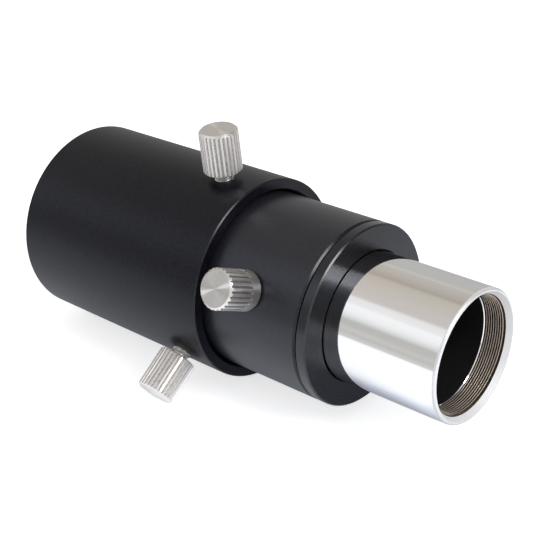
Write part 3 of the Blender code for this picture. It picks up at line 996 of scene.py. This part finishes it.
def with_supports(corners):
    """Rounds an open outline's corners and puts a row close on each side of every corner."""
    places = [corners[0][:2]]
    for before, corner, after in zip(corners, corners[1:], corners[2:]):
        arc = [place for place, facing in rounded_corner(before, corner, after, corner[2])]
        way_in = side_direction(before, corner)
        way_out = side_direction(corner, after)
        room = min(hypot(corner[0] - before[0], corner[1] - before[1]),
                   hypot(after[0] - corner[0], after[1] - corner[1]))
        gap = min(SUPPORT_GAP, room / SUPPORT_PARTS)
        places.append((arc[0][0] - way_in[0] * gap, arc[0][1] - way_in[1] * gap))
        places.extend(arc)
        places.append((arc[-1][0] + way_out[0] * gap, arc[-1][1] + way_out[1] * gap))
    places.append(corners[-1][:2])
    return places


def head_outline(base, face, band, fluted):
    """One column of a thumbscrew's head, from the shank's end out and over to the middle of the face."""
    base_start = min(HEAD_RADIUS - HEAD_BASE_CHAMFER, fluted - EDGE_ROUNDING)
    base_radius = HEAD_RADIUS if band else fluted
    corners = [
        (base, SCREW_RADIUS, 0),
        (base, base_start, EDGE_ROUNDING),
        (base + base_radius - base_start, base_radius, EDGE_ROUNDING),
    ]
    if band:
        corners.append((base + band, HEAD_RADIUS, 0))
        corners.append((base + band, min(fluted, HEAD_RADIUS - LEAST_STEP), 0))
    chamfer_start = HEAD_RADIUS - HEAD_FACE_CHAMFER
    corners.extend((
        (face - (fluted - chamfer_start), fluted, EDGE_ROUNDING),
        (face, chamfer_start, EDGE_ROUNDING),
        (face, FACE_PIP_RADIUS, 0),
        (face - FACE_PIP_DEPTH, 0, 0),
    ))
    return with_supports(corners)


def make_thumbscrew(name, matrix, tip, base, face, flutes, band, finishes, body, node):
    skin = Skin()
    side, end, chamfer, thread = range(4)
    columns = flute_columns(flutes)
    angles = [angle for angle, fluted in columns]
    tip_corners = (
        (tip, 0, 0, thread),
        (tip, SCREW_RADIUS - SCREW_TIP_LEAD, 0, thread),
        (tip + SCREW_TIP_LEAD, SCREW_RADIUS, 0, thread),
    )
    turn_spans(skin, outline_spans(tip_corners, closed=False), angles)
    cut_thread(skin, tip + SCREW_TIP_LEAD, base, SCREW_RADIUS, -SCREW_THREAD_DEPTH,
               SCREW_PITCH, SCREW_PITCH / 2, angles, thread)
    outlines = [head_outline(base, face, band, fluted) for angle, fluted in columns]
    rows = []
    for row in range(len(outlines[0])):
        rows.append([around(outline[row], angle) for outline, angle in zip(outlines, angles)])
    chamfer_top = face - EDGE_ROUNDING
    base_top = base + EDGE_ROUNDING
    for lower, upper in zip(rows, rows[1:]):
        height = (max(place[2] for place in lower) + max(place[2] for place in upper)) / 2
        slot = side
        if (min(place[2] for place in lower) > chamfer_top
                or max(place[2] for place in upper) < base_top):
            slot = end
        elif height > face - HEAD_FACE_CHAMFER:
            slot = chamfer
        skin.grid((lower, upper), slot)
    obj = skin.build(name, (*finishes, STEEL_CHAMFER, STEEL_THREAD))
    place_piece(obj, matrix, body, node)


# Surroundings

def make_floor():
    mesh = bpy.data.meshes.new("floor")
    half = FLOOR_SIZE / 2
    mesh.from_pydata([(-half, -half, -FLOOR_DROP), (half, -half, -FLOOR_DROP),
                      (half, half, -FLOOR_DROP), (-half, half, -FLOOR_DROP)], [], [(0, 1, 2, 3)])
    floor = bpy.data.objects.new("floor", mesh)
    bpy.context.scene.collection.objects.link(floor)
    mesh.materials.append(paper_finish())


def make_world():
    """White to the camera, and to everything else a studio of soft bands around the tubes' axis."""
    world = bpy.data.worlds.new("studio")
    world.use_nodes = True
    bpy.context.scene.world = world
    split = new_node(world, "ShaderNodeSeparateXYZ")
    join(world, new_node(world, "ShaderNodeTexCoord").outputs["Generated"], split.inputs[0])
    towards = new_node(world, "ShaderNodeMath")
    towards.operation = "MULTIPLY"
    towards.inputs[1].default_value = -1
    join(world, split.outputs["Y"], towards.inputs[0])
    angle = new_node(world, "ShaderNodeMath")
    angle.operation = "ARCTAN2"
    join(world, towards.outputs[0], angle.inputs[0])
    join(world, split.outputs["Z"], angle.inputs[1])
    turn = spread(world, angle.outputs[0], (-pi, pi))
    beside = colour_ramp(world, turn, STUDIO_BANDS, HALF_TURN)
    ahead = colour_ramp(world, turn, STUDIO_AHEAD, HALF_TURN)
    straight_ahead = spread(world, split.outputs["X"], STUDIO_END_RANGE, soft=True)
    ahead = blend_colours(world, straight_ahead, ahead, STUDIO_END)
    forward = spread(world, split.outputs["X"], STUDIO_AHEAD_RANGE, soft=True)
    studio = blend_colours(world, forward, beside, ahead)
    to_camera = new_node(world, "ShaderNodeLightPath").outputs["Is Camera Ray"]
    background = world.node_tree.nodes["Background"]
    join(world, blend_colours(world, to_camera, studio, WHITE), background.inputs["Color"])
    background.inputs["Strength"].default_value = 1.0


def make_key_lamp():
    light = bpy.data.lights.new("key_softbox", "AREA")
    light.shape = "RECTANGLE"
    light.size = KEY_SIZE
    light.size_y = KEY_SIZE
    light.energy = KEY_POWER
    lamp = bpy.data.objects.new("key_softbox", light)
    bpy.context.scene.collection.objects.link(lamp)
    target = TUBE_FRAME.translation
    lamp.location = target + KEY_DIRECTION.normalized() * KEY_DISTANCE
    lamp.rotation_euler = (lamp.location - target).to_track_quat("Z", "Y").to_euler()


def make_camera():
    data = bpy.data.cameras.new("camera")
    data.lens = CAMERA_LENS
    data.sensor_width = CAMERA_SENSOR
    data.clip_start = CAMERA_NEAR
    camera = bpy.data.objects.new("camera", data)
    camera.location = CAMERA_PLACE
    camera.rotation_euler = CAMERA_TURN
    bpy.context.scene.collection.objects.link(camera)
    bpy.context.scene.camera = camera


# The frame: the tubes' axis runs along X, through the middle of the outer tube
outer_low, outer_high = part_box("outer_tube")
ring_low, ring_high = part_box("camera_thread_ring")
draw_low, draw_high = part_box("draw_tube")
cap_low, cap_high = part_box("end_cap")
barrel_low, barrel_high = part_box("nosepiece_barrel")
AXIS_PLACE = Vector((0, (outer_low.y + outer_high.y) / 2, (outer_low.z + outer_high.z) / 2))
TUBE_FRAME = Matrix.Translation(AXIS_PLACE) @ Matrix.Rotation(pi / 2, 4, "Y")
joint_axes = {joint["child"]: joint["axis"] for joint in frame["joints"]}
lock_frames = {name: screw_frame(name) for name in LOCK_BACK_OFFS}
eyepiece_frame = screw_frame("eyepiece_screw")

OUTER_BLACK = satin_black_finish("outer_black", specular=0.28, roughness=(0.30, 0.42),
                                 darkest=(0.0006, 0.0005, 0.0030), lightest=(0.0054, 0.0050, 0.0102))
SATIN_BLACK = satin_black_finish("satin_black", specular=0.56, roughness=(0.30, 0.34),
                                 darkest=(0.0095, 0.0095, 0.0140), lightest=(0.0150, 0.0150, 0.0210))
RIM_BLACK = satin_black_finish("rim_black", specular=0.64, roughness=(0.13, 0.20),
                               darkest=(0.0030, 0.0030, 0.0050), lightest=(0.0060, 0.0060, 0.0090))
EDGE_BLACK = edge_black_finish("edge_black", specular=0.40)
RIM_EDGE_BLACK = edge_black_finish("rim_edge_black", specular=0.70)
TURNED_BLACK = turned_black_finish()
MATT_BLACK = matt_black_finish()
CHROME = chrome_finish()
# The lead-in and the lip: partly matt and pale, a painted reflection of white surroundings
LEAD_CHROME = ground_chrome_painted_reflection_finish("lead_chrome", metallic=0.20, roughness=0.60, brightness=0.79)
LIP_CHROME = ground_chrome_painted_reflection_finish("lip_chrome", metallic=0.50, roughness=0.34, brightness=0.84)
BRONZE_THREAD = bronze_thread_finish()
STEEL_LOCK_SIDE = stainless_finish("steel_lock_side", metallic=0.85, roughness=(0.30, 0.40),
                                   anisotropy=0.6, flute_shade=LOCK_FLUTE_PAINTED_SHADE)
STEEL_EYEPIECE_SIDE = stainless_finish("steel_eyepiece_side", metallic=1.0, roughness=(0.30, 0.40),
                                       anisotropy=0.6, flute_shade=EYEPIECE_FLUTE_PAINTED_SHADE)
STEEL_EYEPIECE_FACE = stainless_finish("steel_eyepiece_face", metallic=0.85, roughness=(0.52, 0.62),
                                       anisotropy=1.0, ringed=True)
STEEL_LOCK_FACE = stainless_finish("steel_lock_face", metallic=1.0, roughness=(0.36, 0.46),
                                   anisotropy=0.75, ringed=True)
STEEL_CHAMFER = stainless_finish("steel_chamfer", metallic=0.95, roughness=(0.24, 0.34))
STEEL_THREAD = stainless_finish("steel_thread", metallic=1.0, roughness=(0.22, 0.32))

make_outer_tube(outer_low.x, outer_high.x, list(lock_frames.values()))
make_camera_ring(ring_low.x, outer_low.x, ring_high.x)
make_draw_tube(draw_low.x, draw_high.x, [eyepiece_frame])
make_end_cap(cap_low.x, cap_high.x)
make_nosepiece(barrel_low.x, barrel_high.x)
for name, matrix in lock_frames.items():
    back_off = LOCK_BACK_OFFS[name]
    make_thumbscrew(name + "_steel", matrix, LOCK_TIP + back_off, LOCK_HEAD_BASE + back_off,
                    LOCK_HEAD_FACE + back_off, LOCK_FLUTES, 0,
                    (STEEL_LOCK_SIDE, STEEL_LOCK_FACE), name, name)
make_thumbscrew("eyepiece_screw_steel", eyepiece_frame, EYEPIECE_TIP, EYEPIECE_HEAD_BASE,
                EYEPIECE_HEAD_FACE, EYEPIECE_FLUTES, EYEPIECE_HEAD_BAND,
                (STEEL_EYEPIECE_SIDE, STEEL_EYEPIECE_FACE), "eyepiece_screw", "eyepiece_screw")
make_floor()
make_world()
make_key_lamp()
make_camera()

bpy.context.scene.view_settings.view_transform = "Standard"
